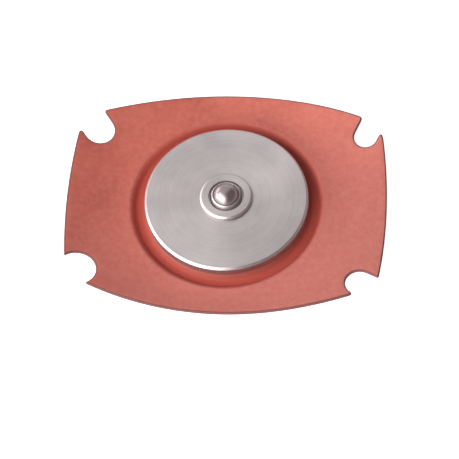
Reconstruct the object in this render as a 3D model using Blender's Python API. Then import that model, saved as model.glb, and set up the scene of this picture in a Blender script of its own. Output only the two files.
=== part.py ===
"""Fuel pressure regulator diaphragm: a moulded rubber sheet clamped between two turned plates.

Metres, +Z up. The round pieces are centred on the Z axis, and the long side of the sheet
lies along X. The part stands on the end face of the lower plate's spring spigot, at Z = 0.
"""

import math

import bmesh
import bpy
from mathutils import Vector

# Clearances between pieces
SEAT_GAP = 0.0003  # left wherever one piece is clamped against another
BALL_PLAY = 0.0001  # all round the ball in its pocket

# Rubber sheet, its outline
SHEET_LENGTH = 0.0744  # across the two short, nearly straight edges
SHEET_WIDTH = 0.0592  # across the two long, bowed edges
LONG_EDGE_RADIUS = 0.081
SHORT_EDGE_RADIUS = 0.128
NOTCH_RADIUS = 0.0038
NOTCH_INSET_LONG_EDGE = 0.00299  # from each long edge in to the notch centres
NOTCH_INSET_SHORT_EDGE = 0.00353  # from each short edge in to the notch centres

# Rubber sheet, its section
SHEET_THICKNESS = 0.0012
CENTRE_DROP = 0.0005  # of the clamped centre below the flange
ROLL_DEPTH = 0.0016  # of the rolled groove below the flange
ROLL_WIDTH = 0.0041  # between the groove's upper corners
ROLL_UNDERCUT = 0.0005  # from the upper plate's edge in to the groove's inner corner
ROLL_WALL_ANGLE = math.radians(59)  # of both walls, from the flange's plane
LIP_RADIUS = 0.0007  # at both upper corners, in the middle of the sheet
ROOT_RADIUS = 0.00125  # at both lower corners, in the middle of the sheet

# Rubber sheet, the curl that its edges have until it is clamped in a body
CURL_START = 0.023  # radius at which the flange leaves its plane
CURL_REACH = 0.0142  # that much further out, it stands at the heights below
CURL_POWER = 1.6  # how it steepens outwards: 1 is a cone, 2 a bowl
CURL_MEAN = 0.0027
CURL_WAVES = (  # cosine and sine parts of one, two and three waves round the sheet
    (-0.0008, -0.00145),
    (-0.0014, 0.0003),
    (-0.0006, 0.0007),
)

# Upper plate
PLATE_DIAMETER = 0.0381
PLATE_THICKNESS = 0.0026
PLATE_TOP_CHAMFER = 0.0005
PLATE_BOTTOM_CHAMFER = 0.0002

# Lower plate
LOWER_INSET = 0.00255  # its edge inside the upper plate's, which leaves the roll free
LOWER_THICKNESS = 0.0016
LOWER_EDGE_CHAMFER = 0.0004
SPIGOT_DIAMETER = 0.022  # the spring coils round this
SPIGOT_HEIGHT = 0.0025
SPIGOT_CHAMFER = 0.0006

# Ball and its holder
BALL_DIAMETER = 0.00635
BALL_CENTRE_HEIGHT = 0.0002  # above the upper plate
HEAD_DIAMETER = 0.0127
HEAD_HEIGHT = 0.00085  # above the upper plate
HEAD_CHAMFER_WIDTH = 0.0009
HEAD_CHAMFER_HEIGHT = 0.00045
SHANK_DIAMETER = 0.0095
TAIL_DIAMETER = 0.0132
TAIL_THICKNESS = 0.001
TAIL_CHAMFER = 0.0003
TAIL_SINK = 0.0002  # of the upset tail inside the spigot's end
DRILL_HALF_ANGLE = math.radians(59)  # of the pocket's conical floor
LIP_GRIP = 0.0001  # how far the rolled lip closes in over the ball's widest part
LIP_CREST_RADIUS = 0.00018
LIP_CREST_END = math.radians(20)  # where the crest's round runs into the groove's inner wall
LIP_ROOT_WALL = 0.0005  # between the pocket and the groove that the staking tool leaves
STAKE_DEPTH = 0.00045  # of that groove below the head's face
STAKE_FLOOR_WIDTH = 0.00015
STAKE_FLARE = 0.00018  # from the groove's floor out to its rim

# Facets
PLATE_TURNS = 72
HOLDER_TURNS = 48
BALL_SEGMENTS = 32
BEND_STEPS = 3
FLANGE_STEPS = 10
BOW_STEPS = 20
NOTCH_STEPS = 24
MERGE_DISTANCE = 1e-7
SHARP_EDGE_ANGLE = math.radians(30)  # what turns less than this is shaded as one round

# Heights, from the end of the spigot upwards
TAIL_RECESS_DEPTH = TAIL_SINK + TAIL_THICKNESS + SEAT_GAP
LOWER_TOP_Z = SPIGOT_HEIGHT + LOWER_THICKNESS
CENTRE_TOP_Z = LOWER_TOP_Z + SEAT_GAP + SHEET_THICKNESS
FLANGE_TOP_Z = CENTRE_TOP_Z + CENTRE_DROP
PLATE_BOTTOM_Z = CENTRE_TOP_Z + SEAT_GAP
PLATE_TOP_Z = PLATE_BOTTOM_Z + PLATE_THICKNESS

BORE_RADIUS = SHANK_DIAMETER / 2 + SEAT_GAP


def clear_scene():
    for obj in list(bpy.data.objects):
        bpy.data.objects.remove(obj, do_unlink=True)


def finish(name, colour, roughness, metallic):
    """A plain material, its colour linear RGB."""
    made = bpy.data.materials.new(name)
    made.use_nodes = True
    shader = made.node_tree.nodes["Principled BSDF"]
    shader.inputs["Base Color"].default_value = (*colour, 1)
    shader.inputs["Roughness"].default_value = roughness
    shader.inputs["Metallic"].default_value = metallic
    made.diffuse_color = (*colour, 1)
    return made


def add_piece(name, mesh, material, height, parent):
    """An object of its own on the common axis, with its origin at the given height."""
    mesh.materials.append(material)
    piece = bpy.data.objects.new(name, mesh)
    piece.location.z = height
    piece.parent = parent
    bpy.context.collection.objects.link(piece)
    return piece


def add_cutter(name, mesh, parent):
    """A helper for a Boolean, which isn't part of the object."""
    cutter = bpy.data.objects.new(name, mesh)
    cutter.parent = parent
    cutter.hide_render = True
    cutter.display_type = "WIRE"
    bpy.context.collection.objects.link(cutter)
    return cutter


def boolean(piece, operation, cutter):
    modifier = piece.modifiers.new(cutter.name, "BOOLEAN")
    modifier.operation = operation
    modifier.solver = "EXACT"
    modifier.object = cutter


def turned_mesh(name, profile, turns):
    """Turns (radius, height) points round Z: a ring if no point is on the axis.

    A profile that starts and ends on the axis gives a solid without a hole.
    """
    shape = bmesh.new()
    points = [shape.verts.new((radius, 0, height)) for radius, height in profile]
    for first, second in zip(points, points[1:]):
        shape.edges.new((first, second))
    if profile[0][0] > 0:
        shape.edges.new((points[-1], points[0]))
    bmesh.ops.spin(
        shape,
        geom=shape.verts[:] + shape.edges[:],
        cent=(0, 0, 0),
        axis=(0, 0, 1),
        angle=2 * math.pi,
        steps=turns,
        use_merge=True,
    )
    bmesh.ops.remove_doubles(shape, verts=shape.verts, dist=MERGE_DISTANCE)
    return closed_mesh(name, shape)


def closed_mesh(name, shape):
    """Writes the bmesh out with its faces outward, its rounds smooth and its corners sharp."""
    bmesh.ops.recalc_face_normals(shape, faces=shape.faces)
    mesh = bpy.data.meshes.new(name)
    shape.to_mesh(mesh)
    shape.free()
    mesh.shade_smooth()
    mesh.set_sharp_from_angle(angle=SHARP_EDGE_ANGLE)
    return mesh


def prism_mesh(name, outlines, bottom, top):
    """Each outline of (x, y) points as an upright prism between two heights."""
    shape = bmesh.new()
    for outline in outlines:
        base = shape.faces.new([shape.verts.new((x, y, bottom)) for x, y in outline])
        walls = bmesh.ops.extrude_face_region(shape, geom=[base])
        raised = [item for item in walls["geom"] if isinstance(item, bmesh.types.BMVert)]
        bmesh.ops.translate(shape, verts=raised, vec=(0, 0, top - bottom))
    return closed_mesh(name, shape)


def arc(centre, radius, start, end, steps):
    """Points along an arc from one angle to the other, with both ends."""
    angles = [start + (end - start) * step / steps for step in range(steps + 1)]
    return [
        (centre[0] + radius * math.cos(angle), centre[1] + radius * math.sin(angle))
        for angle in angles
    ]


def bend(before, corner, after, radius):
    """A rounded corner of a path, as (point, unit normal on the left of the path) pairs."""
    arriving = (corner - before).normalized()
    leaving = (after - corner).normalized()
    turn = math.atan2(arriving.cross(leaving), arriving.dot(leaving))
    left = Vector((-arriving.y, arriving.x))
    side = math.copysign(radius, turn)
    start = corner - arriving * radius * math.tan(abs(turn) / 2)
    centre = start + left * side
    heading = math.atan2(left.y, left.x)
    pairs = []
    for step in range(BEND_STEPS + 1):
        angle = heading + turn * step / BEND_STEPS
        normal = Vector((math.cos(angle), math.sin(angle)))
        pairs.append((centre - normal * side, normal))
    return pairs


def sheet_middle(reach):
    """The middle of the sheet's section, from its bore out to the given radius."""
    centre = CENTRE_TOP_Z - SHEET_THICKNESS / 2
    flange = FLANGE_TOP_Z - SHEET_THICKNESS / 2
    floor = flange - ROLL_DEPTH
    inner_lip = PLATE_DIAMETER / 2 - ROLL_UNDERCUT
    outer_lip = inner_lip + ROLL_WIDTH
    inner_root = inner_lip + (centre - floor) / math.tan(ROLL_WALL_ANGLE)
    outer_root = outer_lip - (flange - floor) / math.tan(ROLL_WALL_ANGLE)
    widest_root = (outer_root - inner_root) / 2 / math.tan(ROLL_WALL_ANGLE / 2)
    root_radius = min(ROOT_RADIUS, widest_root)
    corners = [
        Vector((BORE_RADIUS, centre)),
        Vector((inner_lip, centre)),
        Vector((inner_root, floor)),
        Vector((outer_root, floor)),
        Vector((outer_lip, flange)),
        Vector((reach, flange)),
    ]
    radii = [LIP_RADIUS, root_radius, root_radius, LIP_RADIUS]
    up = Vector((0, 1))
    path = [(corners[0], up)]
    for before, corner, after, radius in zip(corners, corners[1:], corners[2:], radii):
        path += bend(before, corner, after, radius)
    flat = path[-1][0].x
    for step in range(1, FLANGE_STEPS + 1):
        radius = flat + (reach - flat) * step / FLANGE_STEPS
        path.append((Vector((radius, flange)), up))
    return path


def curl_height(x, y):
    """How far the free flange stands above its plane at a point."""
    past = max(math.hypot(x, y) - CURL_START, 0) / CURL_REACH
    angle = math.atan2(y, x)
    height = CURL_MEAN
    for count, (along, across) in enumerate(CURL_WAVES, 1):
        height += along * math.cos(count * angle) + across * math.sin(count * angle)
    return height * past**CURL_POWER


def curled(point):
    """A point of the flat sheet, carried along as the flange curls and stays as thick."""
    rise = SHEET_THICKNESS / 10
    x, y = point.x, point.y
    slope_x = (curl_height(x + rise, y) - curl_height(x - rise, y)) / (2 * rise)
    slope_y = (curl_height(x, y + rise) - curl_height(x, y - rise)) / (2 * rise)
    normal = Vector((-slope_x, -slope_y, 1)).normalized()
    middle = FLANGE_TOP_Z - SHEET_THICKNESS / 2
    return Vector((x, y, middle + curl_height(x, y))) + normal * (point.z - middle)


def sheet_blank():
    """The moulded sheet before it is trimmed: a disc with the rolled groove in it."""
    reach = math.hypot(SHEET_LENGTH, SHEET_WIDTH) / 2
    half = SHEET_THICKNESS / 2
    middle = sheet_middle(reach)
    upper = [point + normal * half for point, normal in middle]
    lower = [point - normal * half for point, normal in reversed(middle)]
    return turned_mesh("diaphragm", [tuple(point) for point in upper + lower], PLATE_TURNS)


def edge_centres():
    """The centre of the top long edge's arc, on Y, and of the right short edge's, on X."""
    long_centre = Vector((0, SHEET_WIDTH / 2 - LONG_EDGE_RADIUS))
    short_centre = Vector((SHEET_LENGTH / 2 - SHORT_EDGE_RADIUS, 0))
    return long_centre, short_centre


def corner_inside(long_inset, short_inset):
    """Where the two bowed edges at the upper right would meet if each lay that far inside."""
    long_centre, short_centre = edge_centres()
    long_radius = LONG_EDGE_RADIUS - long_inset
    short_radius = SHORT_EDGE_RADIUS - short_inset
    between = long_centre - short_centre
    apart = between.length
    along = (short_radius**2 - long_radius**2 + apart**2) / (2 * apart)
    across = math.sqrt(short_radius**2 - along**2)
    side = Vector((-between.y, between.x))
    return short_centre + (between * along + side * across) / apart


def bowed_outline():
    """The sheet's four bowed edges, anticlockwise, before the notches are cut."""
    long_centre, short_centre = edge_centres()
    corner = corner_inside(0, 0)
    short_end = math.atan2(corner.y, corner.x - short_centre.x)
    long_end = math.atan2(corner.y - long_centre.y, corner.x)
    right_edge = arc(short_centre, SHORT_EDGE_RADIUS, -short_end, short_end, BOW_STEPS)
    top_edge = arc(long_centre, LONG_EDGE_RADIUS, long_end, math.pi - long_end, BOW_STEPS)
    half = right_edge[:-1] + top_edge[:-1]
    return half + [(-x, -y) for x, y in half]


def notch_outline(side_x, side_y):
    """A round screw notch at one corner, opened straight out past the sheet's edges."""
    centre_x, centre_y = corner_inside(NOTCH_INSET_LONG_EDGE, NOTCH_INSET_SHORT_EDGE)
    past = SHEET_LENGTH / 2
    bite = arc((centre_x, centre_y), NOTCH_RADIUS, math.pi / 2, 2 * math.pi, NOTCH_STEPS)
    corner = [
        (centre_x + past, centre_y),
        (centre_x + past, centre_y + past),
        (centre_x, centre_y + past),
    ]
    return [(side_x * x, side_y * y) for x, y in bite + corner]


def trimmed_mesh(piece, name):
    """The piece's mesh as its Booleans leave it, in triangles that a bend keeps flat."""
    graph = bpy.context.evaluated_depsgraph_get()
    shape = bmesh.new()
    shape.from_mesh(piece.evaluated_get(graph).to_mesh())
    bmesh.ops.remove_doubles(shape, verts=shape.verts, dist=MERGE_DISTANCE)
    bmesh.ops.triangulate(shape, faces=shape.faces)
    for vert in shape.verts:
        if math.hypot(vert.co.x, vert.co.y) > CURL_START:
            vert.co = curled(vert.co)
    return closed_mesh(name, shape)


def add_diaphragm(material, axis):
    """The rubber sheet: the moulded blank, trimmed flat, notched for four screws and then curled."""
    margin = SHEET_THICKNESS
    bottom = FLANGE_TOP_Z - SHEET_THICKNESS - ROLL_DEPTH - margin
    top = FLANGE_TOP_Z + margin
    outline = prism_mesh("sheet_outline", [bowed_outline()], bottom, top)
    corners = [notch_outline(x, y) for x in (-1, 1) for y in (-1, 1)]
    notches = prism_mesh("screw_notches", corners, bottom - margin, top + margin)
    sheet = add_piece("diaphragm", sheet_blank(), material, 0, axis)
    cutters = [add_cutter("sheet_outline", outline, axis), add_cutter("screw_notches", notches, axis)]
    boolean(sheet, "INTERSECT", cutters[0])
    boolean(sheet, "DIFFERENCE", cutters[1])
    sheet.data = trimmed_mesh(sheet, "diaphragm")
    sheet.data.materials.append(material)
    sheet.modifiers.clear()
    for cutter in cutters:
        bpy.data.objects.remove(cutter, do_unlink=True)


def add_upper_plate(material, axis):
    """The turned disc on the fuel side, chamfered at both rims. Its origin is on its underside."""
    rim = PLATE_DIAMETER / 2
    profile = [
        (BORE_RADIUS, PLATE_THICKNESS),
        (rim - PLATE_TOP_CHAMFER, PLATE_THICKNESS),
        (rim, PLATE_THICKNESS - PLATE_TOP_CHAMFER),
        (rim, PLATE_BOTTOM_CHAMFER),
        (rim - PLATE_BOTTOM_CHAMFER, 0),
        (BORE_RADIUS, 0),
    ]
    mesh = turned_mesh("upper_plate", profile, PLATE_TURNS)
    add_piece("upper_plate", mesh, material, PLATE_BOTTOM_Z, axis)


def add_lower_plate(material, axis):
    """The turned plate on the spring side. Its spigot centres the spring and hides the tail."""
    rim = PLATE_DIAMETER / 2 - LOWER_INSET
    spigot = SPIGOT_DIAMETER / 2
    recess = TAIL_DIAMETER / 2 + SEAT_GAP
    profile = [
        (BORE_RADIUS, LOWER_TOP_Z),
        (rim - LOWER_EDGE_CHAMFER, LOWER_TOP_Z),
        (rim, LOWER_TOP_Z - LOWER_EDGE_CHAMFER),
        (rim, SPIGOT_HEIGHT + LOWER_EDGE_CHAMFER),
        (rim - LOWER_EDGE_CHAMFER, SPIGOT_HEIGHT),
        (spigot, SPIGOT_HEIGHT),
        (spigot, SPIGOT_CHAMFER),
        (spigot - SPIGOT_CHAMFER, 0),
        (recess, 0),
        (recess, TAIL_RECESS_DEPTH),
        (BORE_RADIUS, TAIL_RECESS_DEPTH),
    ]
    mesh = turned_mesh("lower_plate", profile, PLATE_TURNS)
    add_piece("lower_plate", mesh, material, 0, axis)


def rolled_lip(pocket):
    """The pocket's mouth, rolled in over the ball, and the groove round it that the tool leaves."""
    mouth = BALL_DIAMETER / 2 - LIP_GRIP
    closing = math.acos(mouth / pocket)
    inner_face = arc((0, BALL_CENTRE_HEIGHT), pocket, 0, closing, BEND_STEPS)
    mouth_height = inner_face[-1][1]
    crest_centre = (mouth + LIP_CREST_RADIUS, mouth_height)
    crest = arc(crest_centre, LIP_CREST_RADIUS, math.pi, LIP_CREST_END, BEND_STEPS + 1)
    groove = pocket + LIP_ROOT_WALL
    groove_floor = HEAD_HEIGHT - STAKE_DEPTH
    return inner_face + crest[1:] + [
        (groove, groove_floor),
        (groove + STAKE_FLOOR_WIDTH, groove_floor),
        (groove + STAKE_FLOOR_WIDTH + STAKE_FLARE, HEAD_HEIGHT),
    ]


def add_ball_holder(material, axis):
    """The headed pin that holds the ball and clamps the stack. Its origin is level with the plate."""
    pocket = BALL_DIAMETER / 2 + BALL_PLAY
    pocket_tip = BALL_CENTRE_HEIGHT - pocket / math.sin(DRILL_HALF_ANGLE)
    head = HEAD_DIAMETER / 2
    shank = SHANK_DIAMETER / 2
    tail = TAIL_DIAMETER / 2
    tail_bottom = TAIL_SINK - PLATE_TOP_Z
    tail_top = tail_bottom + TAIL_THICKNESS
    floor = [(0, pocket_tip), (pocket, pocket_tip + pocket / math.tan(DRILL_HALF_ANGLE))]
    outside = [
        (head - HEAD_CHAMFER_WIDTH, HEAD_HEIGHT),
        (head, HEAD_HEIGHT - HEAD_CHAMFER_HEIGHT),
        (head, SEAT_GAP),
        (shank, SEAT_GAP),
        (shank, tail_top),
        (tail, tail_top),
        (tail, tail_bottom + TAIL_CHAMFER),
        (tail - TAIL_CHAMFER, tail_bottom),
        (0, tail_bottom),
    ]
    mesh = turned_mesh("ball_holder", floor + rolled_lip(pocket) + outside, HOLDER_TURNS)
    add_piece("ball_holder", mesh, material, PLATE_TOP_Z, axis)


def add_ball(material, axis):
    shape = bmesh.new()
    bmesh.ops.create_uvsphere(
        shape,
        u_segments=BALL_SEGMENTS,
        v_segments=BALL_SEGMENTS // 2,
        radius=BALL_DIAMETER / 2,
    )
    mesh = closed_mesh("ball", shape)
    add_piece("ball", mesh, material, PLATE_TOP_Z + BALL_CENTRE_HEIGHT, axis)


def build():
    clear_scene()
    axis = bpy.data.objects.new("clamp_axis", None)
    bpy.context.collection.objects.link(axis)
    rubber = finish("red rubber", (0.60, 0.17, 0.13), 0.75, 0)
    turned = finish("turned aluminium", (0.48, 0.44, 0.44), 0.38, 1)
    polished = finish("polished steel", (0.55, 0.52, 0.53), 0.12, 1)
    add_diaphragm(rubber, axis)
    add_upper_plate(turned, axis)
    add_lower_plate(turned, axis)
    add_ball_holder(turned, axis)
    add_ball(polished, axis)


build()
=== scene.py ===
"""A fuel pressure regulator diaphragm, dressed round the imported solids, on a white studio floor.

Metres, +Z up, in the frame of the solids: the clamp axis is the Z axis, the part stands on the
end of its spring spigot at Z = 0, and the long side of the rubber sheet lies along X.
"""

import math

import bmesh
import bpy
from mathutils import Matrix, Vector
from mathutils.geometry import delaunay_2d_cdt


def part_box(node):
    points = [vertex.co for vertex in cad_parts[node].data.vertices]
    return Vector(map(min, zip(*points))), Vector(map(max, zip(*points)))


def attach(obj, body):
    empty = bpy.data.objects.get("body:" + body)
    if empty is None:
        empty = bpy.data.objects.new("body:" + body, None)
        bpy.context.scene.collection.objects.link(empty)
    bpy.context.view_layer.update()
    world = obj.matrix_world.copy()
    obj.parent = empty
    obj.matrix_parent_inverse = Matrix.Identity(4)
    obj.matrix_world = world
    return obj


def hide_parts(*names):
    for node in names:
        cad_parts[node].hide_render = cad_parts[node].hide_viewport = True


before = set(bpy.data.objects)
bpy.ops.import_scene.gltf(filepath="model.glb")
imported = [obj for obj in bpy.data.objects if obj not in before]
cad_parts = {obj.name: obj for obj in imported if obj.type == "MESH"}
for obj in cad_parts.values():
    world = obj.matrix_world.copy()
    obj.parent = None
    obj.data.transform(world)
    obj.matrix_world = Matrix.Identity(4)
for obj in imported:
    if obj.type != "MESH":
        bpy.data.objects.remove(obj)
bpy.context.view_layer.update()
MM = 0.001


# Lower plate: on the spring side, a disc with a spigot that centres the spring, and a recess in
# the spigot's end for the pin's tail. Turned in one piece from aluminium bar, and clamped
# against the rubber by the pin that goes through it.

ALUMINIUM = "#C4BBBB"
ALUMINIUM_SHADE = "#AFA7A8"  # where the tool tore the surface a little
TOOL_PITCH = 0.45 * MM  # a real cut is about 0.15 mm, too fine to show, so it's drawn 3 times as coarse
TOOL_DEPTH = 0.0035 * MM
TOOL_BANDS = 3 * MM  # where the feed changed a little
HANDLING_MARKS = 9 * MM


def linear(hex_colour):
    """An sRGB hex colour as the linear RGBA that a shader takes."""
    channels = [int(hex_colour[place : place + 2], 16) / 255 for place in (1, 3, 5)]
    light = [c / 12.92 if c <= 0.04045 else ((c + 0.055) / 1.055) ** 2.4 for c in channels]
    return (*light, 1)


def add_node(material, kind, settings=None, links=None):
    """A shader node with its properties, its socket values and what feeds its sockets."""
    node = material.node_tree.nodes.new(kind)
    for name, value in (settings or {}).items():
        if isinstance(name, str) and hasattr(node, name):
            setattr(node, name, value)
        else:
            node.inputs[name].default_value = value
    for name, source in (links or {}).items():
        material.node_tree.links.new(source, node.inputs[name])
    return node


def new_material(name):
    """A material with its Principled shader, to be linked and set where the finish is described."""
    material = bpy.data.materials.new(name)
    material.use_nodes = True
    return material, material.node_tree.nodes["Principled BSDF"]


def from_axis(material, place):
    """How far a place is from the clamp axis, for what was turned or moulded round it."""
    parts = add_node(material, "ShaderNodeSeparateXYZ", links={"Vector": place})
    flat = add_node(
        material,
        "ShaderNodeCombineXYZ",
        links={"X": parts.outputs["X"], "Y": parts.outputs["Y"]},
    )
    return add_node(material, "ShaderNodeVectorMath", {"operation": "LENGTH"}, {0: flat.outputs[0]})


def turned_aluminium():
    """Aluminium faced on a lathe: a soft metal grey whose fine rings spread a light into two fans."""
    material, shader = new_material("turned aluminium")
    shader.inputs["Metallic"].default_value = 1
    shader.inputs["Anisotropic"].default_value = 0.35
    shader.inputs["Anisotropic Rotation"].default_value = 0.25
    place = add_node(material, "ShaderNodeTexCoord").outputs["Object"]
    radius = from_axis(material, place)
    along_face = add_node(material, "ShaderNodeCombineXYZ", links={"X": radius.outputs["Value"]})
    rings = add_node(
        material,
        "ShaderNodeTexNoise",
        {"Scale": 1 / TOOL_PITCH, "Detail": 3, "Roughness": 0.7},
        {"Vector": along_face.outputs[0]},
    )
    bands = add_node(
        material,
        "ShaderNodeTexNoise",
        {"Scale": 1 / TOOL_BANDS, "Detail": 2, "Roughness": 0.5},
        {"Vector": along_face.outputs[0]},
    )
    cloud = add_node(
        material,
        "ShaderNodeTexNoise",
        {"Scale": 1 / HANDLING_MARKS, "Detail": 4, "Roughness": 0.55},
        {"Vector": place},
    )
    shade = add_node(
        material,
        "ShaderNodeMix",
        {0: 0.5},
        {2: cloud.outputs["Fac"], 3: rings.outputs["Fac"]},
    )
    spread = add_node(
        material,
        "ShaderNodeMapRange",
        {"From Min": 0.38, "From Max": 0.62},
        {"Value": shade.outputs[0]},
    )
    tint = add_node(
        material,
        "ShaderNodeMix",
        {"data_type": "RGBA", 6: linear(ALUMINIUM), 7: linear(ALUMINIUM_SHADE)},
        {"Factor": spread.outputs["Result"]},
    )
    rough = add_node(
        material,
        "ShaderNodeMapRange",
        {"From Min": 0.3, "From Max": 0.7, "To Min": 0.38, "To Max": 0.46},
        {"Value": bands.outputs["Fac"]},
    )
    bump = add_node(
        material,
        "ShaderNodeBump",
        {"Distance": TOOL_DEPTH, "Strength": 1},
        {"Height": rings.outputs["Fac"]},
    )
    round_axis = add_node(material, "ShaderNodeTangent", {"direction_type": "RADIAL", "axis": "Z"})
    link = material.node_tree.links.new
    link(tint.outputs[2], shader.inputs["Base Color"])
    link(rough.outputs["Result"], shader.inputs["Roughness"])
    link(bump.outputs["Normal"], shader.inputs["Normal"])
    link(round_axis.outputs["Tangent"], shader.inputs["Tangent"])
    return material


def rounded(points, steps=4):
    """A turned profile with its corners rounded: (radius, height, corner radius) points."""
    path = []
    closed = points[0][0] > 0
    for place, (radius, height, fillet) in enumerate(points):
        corner = Vector((radius, height))
        at_end = not closed and place in (0, len(points) - 1)
        if fillet == 0 or at_end:
            path.append(corner)
            continue
        before = Vector(points[place - 1][:2]) - corner
        after = Vector(points[(place + 1) % len(points)][:2]) - corner
        half = before.angle(after) / 2
        reach = min(fillet / math.tan(half), before.length * 0.45, after.length * 0.45)
        start = corner + before.normalized() * reach
        end = corner + after.normalized() * reach
        for step in range(steps + 1):
            share = step / steps
            path.append(start.lerp(corner, share).lerp(corner.lerp(end, share), share))
    return path


def placed(name, shape, *materials):
    """A finished shape as an object in the scene, with its materials."""
    mesh = bpy.data.meshes.new(name)
    shape.to_mesh(mesh)
    shape.free()
    for material in materials:
        mesh.materials.append(material)
    piece = bpy.data.objects.new(name, mesh)
    bpy.context.collection.objects.link(piece)
    return piece


def ring(radius, count):
    """Points evenly round a circle about the axis."""
    angles = [2 * math.pi * step / count for step in range(count)]
    return [Vector((radius * math.cos(angle), radius * math.sin(angle))) for angle in angles]


def walls_between(shape, loops, material_index=0):
    """Walls from each loop of vertices to the next one, in triangles where a loop is one point."""
    for near, far in zip(loops, loops[1:]):
        for place in range(len(near)):
            after = (place + 1) % len(near)
            corners = dict.fromkeys((near[place], far[place], far[after], near[after]))
            wall = shape.faces.new(list(corners))
            wall.material_index = material_index


def turned(name, points, material, turns=192):
    """A piece turned round the Z axis from a profile, riding on the part's one body."""
    shape = bmesh.new()
    loops = []
    for point in rounded(points):
        if point.x > 0:
            loops.append([shape.verts.new((*place, point.y)) for place in ring(point.x, turns)])
        else:
            loops.append([shape.verts.new((0, 0, point.y))] * turns)
    if points[0][0] > 0:
        loops.append(loops[0])
    walls_between(shape, loops)
    bmesh.ops.recalc_face_normals(shape, faces=shape.faces)
    piece = placed(name, shape, material)
    piece.data.shade_smooth()
    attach(piece, "root")
    return piece


_, lower_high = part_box("lower_plate")
LOWER_EDGE = lower_high.x
LOWER_CHAMFER = 0.4 * MM
SHOULDER = 2.5 * MM  # height of the face that the spring pushes on
SHOULDER_FILLET = 0.12 * MM
SPIGOT = 11 * MM
SPIGOT_CHAMFER = 0.6 * MM
RECESS = 6.9 * MM
RECESS_TOP = 1.5 * MM
BORE = 5.05 * MM
EDGE = 0.1 * MM  # how far a turned edge is broken
FINE_EDGE = 0.05 * MM

aluminium = turned_aluminium()
lower_plate = turned(
    "turned_lower_plate",
    [
        (BORE, lower_high.z, EDGE),
        (LOWER_EDGE - LOWER_CHAMFER, lower_high.z, EDGE),
        (LOWER_EDGE, lower_high.z - LOWER_CHAMFER, EDGE),
        (LOWER_EDGE, SHOULDER + LOWER_CHAMFER, EDGE),
        (LOWER_EDGE - LOWER_CHAMFER, SHOULDER, EDGE),
        (SPIGOT, SHOULDER, SHOULDER_FILLET),
        (SPIGOT, SPIGOT_CHAMFER, EDGE),
        (SPIGOT - SPIGOT_CHAMFER, 0, EDGE),
        (RECESS, 0, EDGE),
        (RECESS, RECESS_TOP, EDGE),
        (BORE, RECESS_TOP, FINE_EDGE),
    ],
    aluminium,
)
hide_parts("lower_plate")


# Rubber sheet: the diaphragm itself, moulded in red-brown rubber over a woven reinforcement, then
# die-cut to its bowed outline with four open notches for the screws. The two plates clamp its
# centre, a rolled groove round them lets it flex, and its free edges curl up a little.

RUBBER = "#C96858"
RUBBER_DEEP = "#B95A4C"
RUBBER_GROOVE_SHADE = "#BC5144"  # painted shade and bounce light: the groove is drawn darker and redder, without the bloom
RUBBER_DUST_AND_LIGHT = "#D5847A"  # the pale dust that wax and talc leave on it, and the same colour laid on as painted light towards the right and front
RUBBER_CREASE_SHADE = "#A04F43"  # painted shade in the crease beside the plate
CUT_EDGE = "#8A5D59"  # where the knife went through the woven threads
CUT_THREADS = "#764C49"
BLOOM_PATCH = 11 * MM
DUST_SPOT = 1.3 * MM
MOULD_GRAIN = 0.35 * MM  # a spark-eroded mould's grain is about 0.1 mm, drawn coarser so that it shows
GRAIN_DEPTH = 0.03 * MM
THREADS = 0.8 * MM
CREASE_SHADE_FADES = (19.2 * MM, 20 * MM)  # the radii between which the crease's painted shade ends
GROOVE_SHADE_FADES = (21.4 * MM, 22.9 * MM)  # and those between which the groove's painted shade does
PAINTED_LIGHT_SIDE = (0.65, -0.75, 0)  # the way in which the painted light on the sheet gets stronger
PAINTED_LIGHT_SPAN = 27 * MM  # from the axis to where it's strongest

plate_low, plate_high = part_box("upper_plate")
THICKNESS = 0.7 * MM
PRESSED_GAP = 0.01 * MM  # the middle is pressed against the plates, so it fills the gap between them
CENTRE_TOP = plate_low.z - PRESSED_GAP
CENTRE_BOTTOM = lower_high.z + PRESSED_GAP
FACE = plate_low.z + 0.2 * MM  # top of the flange, next to the groove
HALF_LENGTHS = {1: 37.16 * MM, -1: 37.29 * MM}  # to the right and to the left
HALF_WIDTHS = {1: 29.44 * MM, -1: 29.48 * MM}  # to the back and to the front
LONG_BOW = 81 * MM
SHORT_BOW = 128 * MM
ROLL_DEPTH = 1.6 * MM
ROLL_START = 18.69 * MM
ROLL_WIDTH = 3.82 * MM
ROLL_SLOPE = math.radians(59)
LIP = 0.95 * MM
ROOT = 1.0 * MM
# The cut edge falls away where the knife pressed it down: shares of its reach, inwards and down
TOP_REACH = 0.32 * MM
BOTTOM_REACH = 0.1 * MM
EDGE_FALL = [(0.35, 0.15), (0.1, 0.6), (0, 1)]
NOTCH = 3.8 * MM
NOTCH_X = 32.1 * MM
NOTCH_Y = 19.7 * MM
CURL_START = 23 * MM
CURL_REACH = 14.2 * MM
CURL_POWER = 1.6
# How far the edge curls up: all round, then in waves of one, two and three turns
CURL = 2.25 * MM
CURL_WAVES = [(1, -0.61 * MM, -0.08 * MM), (2, -1.04 * MM, 0.17 * MM), (3, -0.54 * MM, 0.26 * MM)]
# The die cut each notch a little off its place: (side x, side y, shift x, shift y, wider by, the
# degrees on its round at which it runs out straight to the long edge and to the short one, and how
# far the rounding of its tips reaches, at the long edge and at the short one)
NOTCH_CUTS = [
    (1, 1, -0.36 * MM, -1.2 * MM, -1.05 * MM, 155, -22, 0.9 * MM, 3.2 * MM),
    (-1, 1, -0.6 * MM, -1.45 * MM, -0.2 * MM, 142.5, -38, 0.9 * MM, 2.0 * MM),
    (-1, -1, 0.93 * MM, 0, 0.55 * MM, 118, -45, 0.6 * MM, 0.5 * MM),
    (1, -1, -0.62 * MM, 0.85 * MM, -0.52 * MM, 121, -63, 1.2 * MM, 0.6 * MM),
]


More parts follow.
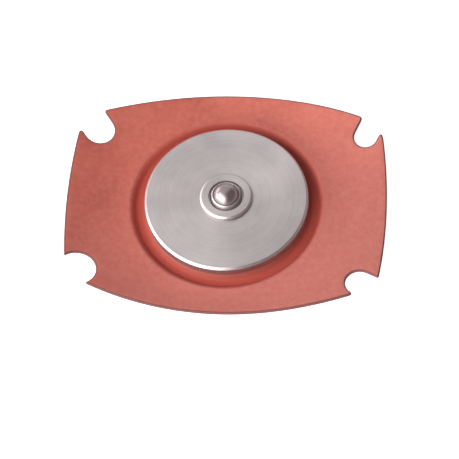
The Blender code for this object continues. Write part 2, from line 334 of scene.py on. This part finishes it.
def bend(before, corner, after, radius, steps=8):
    """A rounded corner of the sheet's section, as (point, normal) pairs."""
    arriving = (corner - before).normalized()
    leaving = (after - corner).normalized()
    turn = math.atan2(arriving.cross(leaving), arriving.dot(leaving))
    left = Vector((-arriving.y, arriving.x))
    side = math.copysign(radius, turn)
    centre = corner - arriving * radius * math.tan(abs(turn) / 2) + left * side
    heading = math.atan2(left.y, left.x)
    pairs = []
    for step in range(steps + 1):
        angle = heading + turn * step / steps
        normal = Vector((math.cos(angle), math.sin(angle)))
        pairs.append((centre - normal * side, normal))
    return pairs


def roll_section(side):
    """(radius, height) along one face of the sheet's rolled groove: side 1 above, -1 below."""
    flange = FACE - THICKNESS / 2
    centre = (CENTRE_TOP if side == 1 else CENTRE_BOTTOM) - side * THICKNESS / 2
    floor = flange - ROLL_DEPTH
    inner_root = ROLL_START + (centre - floor) / math.tan(ROLL_SLOPE)
    outer_root = ROLL_START + ROLL_WIDTH - ROLL_DEPTH / math.tan(ROLL_SLOPE)
    corners = [
        Vector((BORE, centre)),
        Vector((ROLL_START, centre)),
        Vector((inner_root, floor)),
        Vector((outer_root, floor)),
        Vector((ROLL_START + ROLL_WIDTH, flange)),
        Vector((HALF_LENGTHS[1], flange)),
    ]
    root = min(ROOT, (outer_root - inner_root) / 2 / math.tan(ROLL_SLOPE / 2))
    pairs = []
    for before, corner, after, radius in zip(corners, corners[1:], corners[2:], (LIP, root, root, LIP)):
        pairs += bend(before, corner, after, radius)
    return [tuple(point + normal * side * THICKNESS / 2) for point, normal in pairs]


def height_on(section, radius):
    """The height of a face at a radius, read along its section."""
    if radius <= section[0][0]:
        return section[0][1]
    tiniest = 1e-6 * MM
    for (near, low), (far, high) in zip(section, section[1:]):
        if radius <= far:
            return low + (high - low) * (radius - near) / max(far - near, tiniest)
    return section[-1][1]


def curl(x, y):
    """How far the free sheet stands above its moulded plane at (x, y)."""
    radius = math.hypot(x, y)
    if radius <= CURL_START:
        return 0
    angle = math.atan2(y, x)
    height = CURL + sum(c * math.cos(n * angle) + s * math.sin(n * angle) for n, c, s in CURL_WAVES)
    return height * ((radius - CURL_START) / CURL_REACH) ** CURL_POWER


def curled(x, y, z):
    """A point of the flat sheet, carried along as the sheet bends, square to its middle."""
    if math.hypot(x, y) <= CURL_START:
        return Vector((x, y, z))
    step = 0.05 * MM
    slope_x = (curl(x + step, y) - curl(x - step, y)) / (2 * step)
    slope_y = (curl(x, y + step) - curl(x, y - step)) / (2 * step)
    normal = Vector((-slope_x, -slope_y, 1)).normalized()
    middle = FACE - THICKNESS / 2
    return Vector((x, y, middle + curl(x, y))) + normal * (z - middle)


def cut_back(side, tip, reach):
    """A side that runs towards a tip, ended at a reach from it."""
    kept = [point for point in side if (point - tip).length > reach]
    last, beyond = kept[-1], side[len(kept)]
    over = (last - tip).length - reach
    return kept + [last.lerp(beyond, over / ((last - tip).length - (beyond - tip).length))]


def blunted(arriving, leaving, reach, steps=7):
    """Two sides that meet in a tip, joined by a rounded end instead."""
    tip = arriving[-1]
    arriving = cut_back(arriving, tip, reach)
    leaving = cut_back(leaving[::-1], tip, reach)[::-1]
    start, end = arriving[-1], leaving[0]
    shares = [step / steps for step in range(1, steps)]
    return arriving + [start.lerp(tip, s).lerp(tip.lerp(end, s), s) for s in shares] + leaving


def from_edge(cut, middle, bow, halvings=40):
    """A cut that starts outside an edge, bowed about a middle, begun where it crosses the edge."""
    place = next(place for place, point in enumerate(cut) if (point - middle).length < bow)
    outside, inward = cut[place - 1], cut[place]
    for _ in range(halvings):
        halfway = (outside + inward) / 2
        if (halfway - middle).length > bow:
            outside = halfway
        else:
            inward = halfway
    return [inward] + cut[place:]


def quarter_outline(side_x, side_y, shift_x, shift_y, wider, leave_long, leave_short, long_tip, short_tip):
    """From the middle of the long edge to the middle of the short one, round one notch."""
    notch = Vector((NOTCH_X + shift_x, NOTCH_Y + shift_y))
    long_middle = HALF_WIDTHS[side_y] - LONG_BOW
    short_middle = HALF_LENGTHS[side_x] - SHORT_BOW
    steps = 48
    spokes = []
    for step in range(steps + 1):
        angle = math.radians(leave_long + (leave_short + 360 - leave_long) * step / steps)
        spokes.append(Vector((math.cos(angle), math.sin(angle))))
    round_cut = [notch + (NOTCH + wider) * spoke for spoke in spokes]
    to_long = Vector((spokes[0].y, -spokes[0].x))
    to_short = Vector((-spokes[-1].y, spokes[-1].x))
    run_step = 0.4 * MM
    run_out = [run_step * step for step in range(1, 30)]
    arc = [round_cut[0] + to_long * run for run in run_out[::-1]] + round_cut
    arc = from_edge(arc, Vector((0, long_middle)), LONG_BOW)
    arc = arc + [round_cut[-1] + to_short * run for run in run_out]
    arc = from_edge(arc[::-1], Vector((short_middle, 0)), SHORT_BOW)[::-1]
    long_steps = 36
    long_end = math.atan2(arc[0].x, arc[0].y - long_middle)
    long_side = []
    for step in range(long_steps + 1):
        angle = long_end * step / long_steps
        long_side.append(Vector((LONG_BOW * math.sin(angle), long_middle + LONG_BOW * math.cos(angle))))
    short_steps = 24
    short_end = math.atan2(arc[-1].y, arc[-1].x - short_middle)
    short_side = []
    for step in range(short_steps + 1):
        angle = short_end * (1 - step / short_steps)
        short_side.append(Vector((short_middle + SHORT_BOW * math.cos(angle), SHORT_BOW * math.sin(angle))))
    points = blunted(blunted(long_side, arc, long_tip), short_side, short_tip)
    return [Vector((side_x * point.x, side_y * point.y)) for point in points]


def sheet_outline():
    """The whole outline, anticlockwise from the right-hand end of the X axis."""
    upper_right, upper_left, lower_left, lower_right = (quarter_outline(*cut) for cut in NOTCH_CUTS)
    loop = upper_right[::-1] + upper_left[1:] + lower_left[::-1][1:] + lower_right[1:]
    return loop[:-1]


def inset(loop, distance):
    """The loop moved inwards by a distance, square to its sides."""
    moved = []
    for place, point in enumerate(loop):
        before = (point - loop[place - 1]).normalized()
        after = (loop[(place + 1) % len(loop)] - point).normalized()
        inward_before = Vector((-before.y, before.x))
        inward_after = Vector((-after.y, after.x))
        middle = (inward_before + inward_after).normalized()
        sharpest = 0.6  # beyond this the corner would run too far in
        moved.append(point + middle * distance / max(middle.dot(inward_after), sharpest))
    return moved


def inside(point, loop):
    """Whether a point is inside a loop, by counting the sides that a ray crosses."""
    crossed = False
    for first, second in zip(loop, loop[1:] + loop[:1]):
        if (first.y > point.y) != (second.y > point.y):
            if point.x < first.x + (point.y - first.y) * (second.x - first.x) / (second.y - first.y):
                crossed = not crossed
    return crossed


RING_POINTS = 180
RING_STEP = 1.1 * MM  # from ring to ring on the flange
CENTRE_STEP = 5 * MM  # and on the flat middle under the plate
CLOSEST_RINGS = 0.02 * MM
RIM_MARGIN = 0.8 * MM
CLEAR_OF_NOTCHES = 0.72 * HALF_WIDTHS[1]  # no notch reaches in as far as this radius


def ring_radii(section):
    """The radii of a face's rings of points: close in the groove's bends, even on the flange."""
    bends = sorted({round(radius, 7) for radius, _ in section})
    radii = [BORE, BORE + CENTRE_STEP, BORE + 2 * CENTRE_STEP]
    radii += [radius for radius, after in zip(bends, bends[1:]) if after - radius > CLOSEST_RINGS]
    radii.append(bends[-1])
    while radii[-1] < 1.2 * HALF_LENGTHS[1]:
        radii.append(radii[-1] + RING_STEP)
    return radii


def sheet_face(shape, side, outline, reach):
    """One face of the sheet, side 1 above or -1 below: its vertices round the bore and the rim."""
    rim = inset(outline, reach)
    margin = inset(outline, RIM_MARGIN)
    section = roll_section(side)
    points = []
    for radius in ring_radii(section):
        clear = radius < CLEAR_OF_NOTCHES
        points += [point for point in ring(radius, RING_POINTS) if clear or inside(point, margin)]
    first = len(points)
    points += rim
    bore_edges = [(step, (step + 1) % RING_POINTS) for step in range(RING_POINTS)]
    rim_edges = [(first + step, first + (step + 1) % len(rim)) for step in range(len(rim))]
    flat, _, triangles, origins, _, _ = delaunay_2d_cdt(points, bore_edges + rim_edges, [], 1, 1e-9)
    verts = []
    for point in flat:
        height = height_on(section, point.length)
        verts.append(shape.verts.new(curled(point.x, point.y, height)))
    for triangle in triangles:
        middle = sum((flat[corner] for corner in triangle), Vector((0, 0))) / len(triangle)
        if middle.length > BORE * math.cos(math.pi / RING_POINTS):
            shape.faces.new([verts[corner] for corner in triangle[::side]])
    of_input = {source: verts[place] for place, sources in enumerate(origins) for source in sources}
    round_bore = [of_input[step] for step in range(RING_POINTS)]
    round_rim = [of_input[first + step] for step in range(len(rim))]
    return round_bore, round_rim


def rubber_sheet_shape():
    """The whole sheet: two faces, the wall of its bore, and its cut edge as the second material."""
    outline = sheet_outline()
    shape = bmesh.new()
    top_bore, top_rim = sheet_face(shape, 1, outline, TOP_REACH)
    bottom_bore, bottom_rim = sheet_face(shape, -1, outline, BOTTOM_REACH)
    under = FACE - THICKNESS
    levels = [(inwards * TOP_REACH, FACE - down * TOP_REACH) for inwards, down in EDGE_FALL]
    levels += [(inwards * BOTTOM_REACH, under + up * BOTTOM_REACH) for inwards, up in EDGE_FALL[::-1]]
    edge_loops = [top_rim]
    for offset, height in levels:
        edge_loops.append([shape.verts.new(curled(p.x, p.y, height)) for p in inset(outline, offset)])
    edge_loops.append(bottom_rim)
    walls_between(shape, edge_loops, material_index=1)
    walls_between(shape, [bottom_bore, top_bore])
    bmesh.ops.recalc_face_normals(shape, faces=shape.faces)
    return shape


def moulded_rubber():
    """Moulded nitrile rubber: matt brick red, specked with bloom, paler towards the right and front as
    painted light, with painted shade in the groove and the crease.
    """
    material, shader = new_material("moulded rubber")
    shader.inputs["IOR"].default_value = 1.5
    shader.inputs["Specular IOR Level"].default_value = 0.35
    place = add_node(material, "ShaderNodeTexCoord").outputs["Object"]
    cloud = add_node(
        material,
        "ShaderNodeTexNoise",
        {"Scale": 1 / BLOOM_PATCH, "Detail": 5, "Roughness": 0.6},
        {"Vector": place},
    )
    specks = add_node(
        material,
        "ShaderNodeTexNoise",
        {"Scale": 1 / DUST_SPOT, "Detail": 4, "Roughness": 0.65},
        {"Vector": place},
    )
    grain = add_node(
        material,
        "ShaderNodeTexNoise",
        {"Scale": 1 / MOULD_GRAIN, "Detail": 3, "Roughness": 0.6},
        {"Vector": place},
    )
    patches = add_node(
        material,
        "ShaderNodeMapRange",
        {"From Min": 0.35, "From Max": 0.68},
        {"Value": cloud.outputs["Fac"]},
    )
    base = add_node(
        material,
        "ShaderNodeMix",
        {"data_type": "RGBA", 6: linear(RUBBER), 7: linear(RUBBER_DEEP)},
        {"Factor": patches.outputs["Result"]},
    )
    dust = add_node(
        material,
        "ShaderNodeMapRange",
        {"From Min": 0.4, "From Max": 0.75, "To Min": 0, "To Max": 0.4},
        {"Value": specks.outputs["Fac"]},
    )
    # Painted light: the sheet is drawn paler and brighter towards the right and front, with the bloom
    # colour; the specks above are real dust.
    across = add_node(
        material,
        "ShaderNodeVectorMath",
        {"operation": "DOT_PRODUCT", 1: PAINTED_LIGHT_SIDE},
        {0: place},
    )
    painted_light = add_node(
        material,
        "ShaderNodeMapRange",
        {"From Min": -PAINTED_LIGHT_SPAN, "From Max": PAINTED_LIGHT_SPAN, "To Min": 0, "To Max": 0.5},
        {"Value": across.outputs["Value"]},
    )
    dust_and_light = add_node(
        material,
        "ShaderNodeMath",
        {"operation": "ADD", "use_clamp": True},
        {0: dust.outputs["Result"], 1: painted_light.outputs["Result"]},
    )
    dusted_and_lit = add_node(
        material,
        "ShaderNodeMix",
        {"data_type": "RGBA", 7: linear(RUBBER_DUST_AND_LIGHT)},
        {"Factor": dust_and_light.outputs[0], 6: base.outputs[2]},
    )
    radius = from_axis(material, place)
    # Painted shade: the groove is drawn darker and redder than the flange, as if lit by light bounced
    # between its walls.
    groove_shade = add_node(
        material,
        "ShaderNodeMapRange",
        {"From Min": GROOVE_SHADE_FADES[0], "From Max": GROOVE_SHADE_FADES[1], "To Min": 1, "To Max": 0},
        {"Value": radius.outputs["Value"]},
    )
    colour = add_node(
        material,
        "ShaderNodeMix",
        {"data_type": "RGBA", 7: linear(RUBBER_GROOVE_SHADE)},
        {"Factor": groove_shade.outputs["Result"], 6: dusted_and_lit.outputs[2]},
    )
    # Painted shade: a darker ring in the crease beside the plate's edge.
    crease_shade = add_node(
        material,
        "ShaderNodeMapRange",
        {"From Min": CREASE_SHADE_FADES[0], "From Max": CREASE_SHADE_FADES[1], "To Min": 1, "To Max": 0},
        {"Value": radius.outputs["Value"]},
    )
    colour = add_node(
        material,
        "ShaderNodeMix",
        {"data_type": "RGBA", 7: linear(RUBBER_CREASE_SHADE)},
        {"Factor": crease_shade.outputs["Result"], 6: colour.outputs[2]},
    )
    rough = add_node(
        material,
        "ShaderNodeMapRange",
        {"From Min": 0.3, "From Max": 0.7, "To Min": 0.66, "To Max": 0.82},
        {"Value": specks.outputs["Fac"]},
    )
    bump = add_node(
        material,
        "ShaderNodeBump",
        {"Distance": GRAIN_DEPTH, "Strength": 0.6},
        {"Height": grain.outputs["Fac"]},
    )
    link = material.node_tree.links.new
    link(colour.outputs[2], shader.inputs["Base Color"])
    link(rough.outputs["Result"], shader.inputs["Roughness"])
    link(bump.outputs["Normal"], shader.inputs["Normal"])
    return material


def cut_edge():
    """The die-cut edge: dull grey-brown, because the grey threads of the weave lie open in it."""
    material, shader = new_material("die-cut rubber edge")
    shader.inputs["Specular IOR Level"].default_value = 0.2
    shader.inputs["Roughness"].default_value = 0.9
    place = add_node(material, "ShaderNodeTexCoord").outputs["Object"]
    threads = add_node(
        material,
        "ShaderNodeTexNoise",
        {"Scale": 1 / THREADS, "Detail": 3, "Roughness": 0.6},
        {"Vector": place},
    )
    tone = add_node(
        material,
        "ShaderNodeMix",
        {"data_type": "RGBA", 6: linear(CUT_EDGE), 7: linear(CUT_THREADS)},
        {"Factor": threads.outputs["Fac"]},
    )
    material.node_tree.links.new(tone.outputs[2], shader.inputs["Base Color"])
    return material


sheet = placed("rubber_sheet", rubber_sheet_shape(), moulded_rubber(), cut_edge())
sheet.data.shade_smooth()
sheet.data.set_sharp_from_angle(angle=math.radians(50))
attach(sheet, "root")
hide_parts("diaphragm")


# Upper plate: on the fuel side, a plain disc that clamps the rubber. Turned from aluminium bar,
# its face cut in fine rings, with a chamfer at each rim that keeps it from cutting the sheet.

UPPER_EDGE = plate_high.x
TOP_CHAMFER = 0.5 * MM
BOTTOM_CHAMFER = 0.2 * MM
CHAMFER_EDGE = 0.06 * MM

upper_plate = turned(
    "turned_upper_plate",
    [
        (BORE, plate_high.z, FINE_EDGE),
        (UPPER_EDGE - TOP_CHAMFER, plate_high.z, CHAMFER_EDGE),
        (UPPER_EDGE, plate_high.z - TOP_CHAMFER, CHAMFER_EDGE),
        (UPPER_EDGE, plate_low.z + BOTTOM_CHAMFER, CHAMFER_EDGE),
        (UPPER_EDGE - BOTTOM_CHAMFER, plate_low.z, CHAMFER_EDGE),
        (BORE, plate_low.z, FINE_EDGE),
    ],
    aluminium,
    turns=256,
)
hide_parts("upper_plate")


# Ball holder: a headed pin, turned from the same bar. Its shank clamps the stack, with a tail
# upset in the lower plate's recess. The mouth of its pocket was rolled in over the ball with a
# staking tool, which left the narrow groove round it.

FLOOR = plate_high.z  # the face that the head sits on
holder_low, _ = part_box("ball_holder")
ball_low, ball_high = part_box("ball")
BALL = (ball_high.x - ball_low.x) / 2
BALL_CENTRE = (ball_high.z + ball_low.z) / 2
HEAD = 6.15 * MM
HEAD_TOP = FLOOR + 0.85 * MM
HEAD_CHAMFER = 0.45 * MM
HEAD_CHAMFER_DROP = 0.35 * MM
SHANK = 4.75 * MM
TAIL = 6.6 * MM
TAIL_TOP = holder_low.z + 1 * MM
TAIL_CHAMFER = 0.3 * MM
POCKET = BALL + 0.05 * MM
POCKET_END = BALL_CENTRE - 0.55 * BALL  # where the drill's cone starts
DRILL_TIP = BALL_CENTRE - 1.17 * BALL
LIP_TOP = FLOOR + 1.42 * MM
STAKED_GROOVE = HEAD_TOP - 0.8 * MM


def staked_lip():
    """From the ball's widest part up over the rolled lip and down into the groove round it."""
    return [
        (POCKET, BALL_CENTRE, 0),
        (POCKET - 0.12 * MM, LIP_TOP - 0.38 * MM, EDGE),
        (POCKET - 0.2 * MM, LIP_TOP - 0.08 * MM, 0.03 * MM),
        (POCKET - 0.1 * MM, LIP_TOP, 0.06 * MM),
        (POCKET + 0.12 * MM, LIP_TOP - 0.14 * MM, EDGE),
        (POCKET + 0.55 * MM, STAKED_GROOVE, FINE_EDGE),
        (POCKET + 0.72 * MM, STAKED_GROOVE, FINE_EDGE),
        (POCKET + 0.85 * MM, HEAD_TOP, FINE_EDGE),
    ]


ball_holder = turned(
    "turned_ball_holder",
    [
        (0, DRILL_TIP, 0),
        (POCKET, POCKET_END, EDGE),
        *staked_lip(),
        (HEAD - HEAD_CHAMFER, HEAD_TOP, EDGE),
        (HEAD, HEAD_TOP - HEAD_CHAMFER_DROP, EDGE),
        (HEAD, FLOOR, FINE_EDGE),
        (SHANK, FLOOR, FINE_EDGE),
        (SHANK, TAIL_TOP, FINE_EDGE),
        (TAIL, TAIL_TOP, EDGE),
        (TAIL, holder_low.z + TAIL_CHAMFER, EDGE),
        (TAIL - TAIL_CHAMFER, holder_low.z, EDGE),
        (0, holder_low.z, 0),
    ],
    aluminium,
)
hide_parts("ball_holder")


# Ball: a bearing ball that shuts the valve seat, held by the staked lip. Through-hardened steel,
# ground and lapped, so it mirrors the studio, through a film of handling.

# Both steel tones are set darker than bare steel: painted shade for the dim room that the ball mirrors.
STEEL_WITH_PAINTED_SHADE = "#9A8E90"
STEEL_FILM_WITH_PAINTED_SHADE = "#8E8284"
HANDLING_FILM = 1.6 * MM


def lapped_steel():
    """Bearing steel, lapped and handled: a hazy mirror, tinted darker and warmer than the aluminium as
    painted shade for the dim room it mirrors.
    """
    material, shader = new_material("lapped bearing steel")
    shader.inputs["Metallic"].default_value = 1
    place = add_node(material, "ShaderNodeTexCoord").outputs["Object"]
    film = add_node(
        material,
        "ShaderNodeTexNoise",
        {"Scale": 1 / HANDLING_FILM, "Detail": 4, "Roughness": 0.6},
        {"Vector": place},
    )
    rough = add_node(
        material,
        "ShaderNodeMapRange",
        {"From Min": 0.35, "From Max": 0.7, "To Min": 0.29, "To Max": 0.35},
        {"Value": film.outputs["Fac"]},
    )
    tint = add_node(
        material,
        "ShaderNodeMix",
        {"data_type": "RGBA", 6: linear(STEEL_WITH_PAINTED_SHADE), 7: linear(STEEL_FILM_WITH_PAINTED_SHADE)},
        {"Factor": film.outputs["Fac"]},
    )
    link = material.node_tree.links.new
    link(tint.outputs[2], shader.inputs["Base Color"])
    link(rough.outputs["Result"], shader.inputs["Roughness"])
    return material


shape = bmesh.new()
bmesh.ops.create_icosphere(shape, subdivisions=5, radius=BALL)
bmesh.ops.translate(shape, verts=shape.verts, vec=(0, 0, BALL_CENTRE))
ball = placed("steel_ball", shape, lapped_steel())
ball.data.shade_smooth()
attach(ball, "root")
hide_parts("ball")


# Studio: a white floor that runs out to a white backdrop, one large softbox low on the left in
# front, a dim strip light low on the left behind, which draws the light line on the rims, and a
# grey flag on the right that only shows in the metal.

VINYL = "#F4F4F4"
VINYL_PALE = "#F8F8F8"
VINYL_MOTTLE = 40 * MM
FLOOR_REACH = 3.0
FLOOR_GLOW = 0.85  # what the floor adds to its own lit colour, so that it reads as white
AMBIENT = 0.17


def seen_directly(material):
    """1 for a ray from the camera, a mirror or a clear piece, and 0 for light that falls on the object."""
    path = add_node(material, "ShaderNodeLightPath")
    seen = add_node(
        material,
        "ShaderNodeMath",
        {"operation": "MAXIMUM"},
        {0: path.outputs["Is Camera Ray"], 1: path.outputs["Is Glossy Ray"]},
    )
    return add_node(
        material,
        "ShaderNodeMath",
        {"operation": "MAXIMUM"},
        {0: seen.outputs[0], 1: path.outputs["Is Transmission Ray"]},
    )


def white_vinyl():
    """Matt white vinyl: it bounces light as paint does, and reads as pure white to the eye."""
    material, shader = new_material("white vinyl")
    shader.inputs["Roughness"].default_value = 0.9
    shader.inputs["Specular IOR Level"].default_value = 0.1
    place = add_node(material, "ShaderNodeTexCoord").outputs["Object"]
    mottle = add_node(
        material,
        "ShaderNodeTexNoise",
        {"Scale": 1 / VINYL_MOTTLE, "Detail": 2},
        {"Vector": place},
    )
    tone = add_node(
        material,
        "ShaderNodeMix",
        {"data_type": "RGBA", 6: linear(VINYL), 7: linear(VINYL_PALE)},
        {"Factor": mottle.outputs["Fac"]},
    )
    glow = add_node(
        material,
        "ShaderNodeMath",
        {"operation": "MULTIPLY", 1: FLOOR_GLOW},
        {0: seen_directly(material).outputs[0]},
    )
    link = material.node_tree.links.new
    link(tone.outputs[2], shader.inputs["Base Color"])
    shader.inputs["Emission Color"].default_value = (1, 1, 1, 1)
    link(glow.outputs[0], shader.inputs["Emission Strength"])
    return material


shape = bmesh.new()
corners = [(-1, -1), (1, -1), (1, 1), (-1, 1)]
shape.faces.new([shape.verts.new((x * FLOOR_REACH, y * FLOOR_REACH, 0)) for x, y in corners])
floor = placed("white_floor", shape, white_vinyl())

world = bpy.data.worlds.new("white studio")
bpy.context.scene.world = world
world.use_nodes = True
sky = world.node_tree.nodes["Background"]
strength = add_node(
    world,
    "ShaderNodeMapRange",
    {"To Min": AMBIENT, "To Max": 1.0},
    {"Value": seen_directly(world).outputs[0]},
)
sky.inputs["Color"].default_value = (1, 1, 1, 1)
world.node_tree.links.new(strength.outputs["Result"], sky.inputs["Strength"])


def from_object(azimuth, elevation, distance):
    """A place in the studio, by the direction in which it is seen from the object."""
    across = math.cos(elevation) * distance
    return Vector((across * math.cos(azimuth), across * math.sin(azimuth), math.sin(elevation) * distance))


FELT = "#8A7F7F"
FELT_PALE = "#958A89"
FELT_PILE = 30 * MM  # real pile is under a millimetre, but all that shows of it is the mirrored tone
FLAG_AWAY = 0.9
FLAG_SIDES = (-95, 60)  # azimuths, in degrees
FLAG_HEIGHTS = (3, 88)


def grey_felt():
    """Grey felt: dark and matt, so it takes the white out of what the metal mirrors."""
    material, shader = new_material("grey felt")
    shader.inputs["Roughness"].default_value = 1
    shader.inputs["Specular IOR Level"].default_value = 0
    place = add_node(material, "ShaderNodeTexCoord").outputs["Object"]
    pile = add_node(
        material,
        "ShaderNodeTexNoise",
        {"Scale": 1 / FELT_PILE, "Detail": 3},
        {"Vector": place},
    )
    tone = add_node(
        material,
        "ShaderNodeMix",
        {"data_type": "RGBA", 6: linear(FELT), 7: linear(FELT_PALE)},
        {"Factor": pile.outputs["Fac"]},
    )
    material.node_tree.links.new(tone.outputs[2], shader.inputs["Base Color"])
    return material


def shares_between(ends, steps=24):
    """Angles evenly spaced from one end to the other, given in degrees."""
    first, last = (math.radians(end) for end in ends)
    return [first + (last - first) * step / steps for step in range(steps + 1)]


shape = bmesh.new()
grid = []
for elevation in shares_between(FLAG_HEIGHTS):
    places = [from_object(azimuth, elevation, FLAG_AWAY) for azimuth in shares_between(FLAG_SIDES)]
    grid.append([shape.verts.new(place) for place in places])
for near, far in zip(grid, grid[1:]):
    for column in range(len(near) - 1):
        shape.faces.new((near[column], far[column], far[column + 1], near[column + 1]))
flag = placed("grey_flag", shape, grey_felt())
flag.visible_camera = False
flag.visible_diffuse = False
flag.visible_shadow = False
flag.visible_transmission = False

LIGHT_AWAY = 1.2
LIGHT_TINT = (1.0, 0.98, 0.985)


def add_softbox(name, size, power, azimuth, elevation):
    """A flat light with a soft white face, aimed at the object."""
    light = bpy.data.lights.new(name, "AREA")
    light.shape = "RECTANGLE"
    light.size, light.size_y = size
    light.energy = power
    light.color = LIGHT_TINT
    holder = bpy.data.objects.new(name, light)
    holder.location = from_object(math.radians(azimuth), math.radians(elevation), LIGHT_AWAY)
    holder.rotation_mode = "QUATERNION"
    holder.rotation_quaternion = (-holder.location).to_track_quat("-Z", "Y")
    bpy.context.collection.objects.link(holder)


add_softbox("softbox", size=(2.2, 1.2), power=35, azimuth=-137, elevation=33)
add_softbox("strip_light", size=(1.6, 0.3), power=6, azimuth=160, elevation=8)


# Camera: looks down at the slant of the photograph, a little rolled, with the object where it is
# in the frame.

PHOTO = 459  # width and height of the photograph in its own pixels
LOOKED_AT = (226.80, 202.79)  # where the axis meets the flange's plane, in those pixels
PIXELS_PER_MM = 4.295  # there
AZIMUTH = math.radians(-8.89)
ELEVATION = math.radians(59.03)
ROLL = math.radians(-6.07)
DISTANCE = 466 * MM
SENSOR = 36.0

camera_data = bpy.data.cameras.new("photo_camera")
camera_data.sensor_width = SENSOR
camera_data.lens = SENSOR * PIXELS_PER_MM * (DISTANCE / MM) / PHOTO
camera_data.shift_x = (PHOTO / 2 - LOOKED_AT[0]) / PHOTO
camera_data.shift_y = (LOOKED_AT[1] - PHOTO / 2) / PHOTO
camera_data.clip_start = 0.01
camera_data.clip_end = 20
camera = bpy.data.objects.new("photo_camera", camera_data)
away = Vector((math.sin(AZIMUTH), math.cos(AZIMUTH), 0))
across = Vector((math.cos(AZIMUTH), -math.sin(AZIMUTH), 0))
back = -math.cos(ELEVATION) * away + math.sin(ELEVATION) * Vector((0, 0, 1))
upward = math.sin(ELEVATION) * away + math.cos(ELEVATION) * Vector((0, 0, 1))
camera_right = math.cos(ROLL) * across + math.sin(ROLL) * upward
camera_up = -math.sin(ROLL) * across + math.cos(ROLL) * upward
turn = camera.matrix_world.to_3x3()
for column, direction in enumerate((camera_right, camera_up, back)):
    turn.col[column] = direction
camera.rotation_mode = "QUATERNION"
camera.rotation_quaternion = turn.to_quaternion()
camera.location = Vector((0, 0, FACE)) + back * DISTANCE
bpy.context.collection.objects.link(camera)
bpy.context.scene.camera = camera
bpy.context.scene.view_settings.view_transform = "Standard"
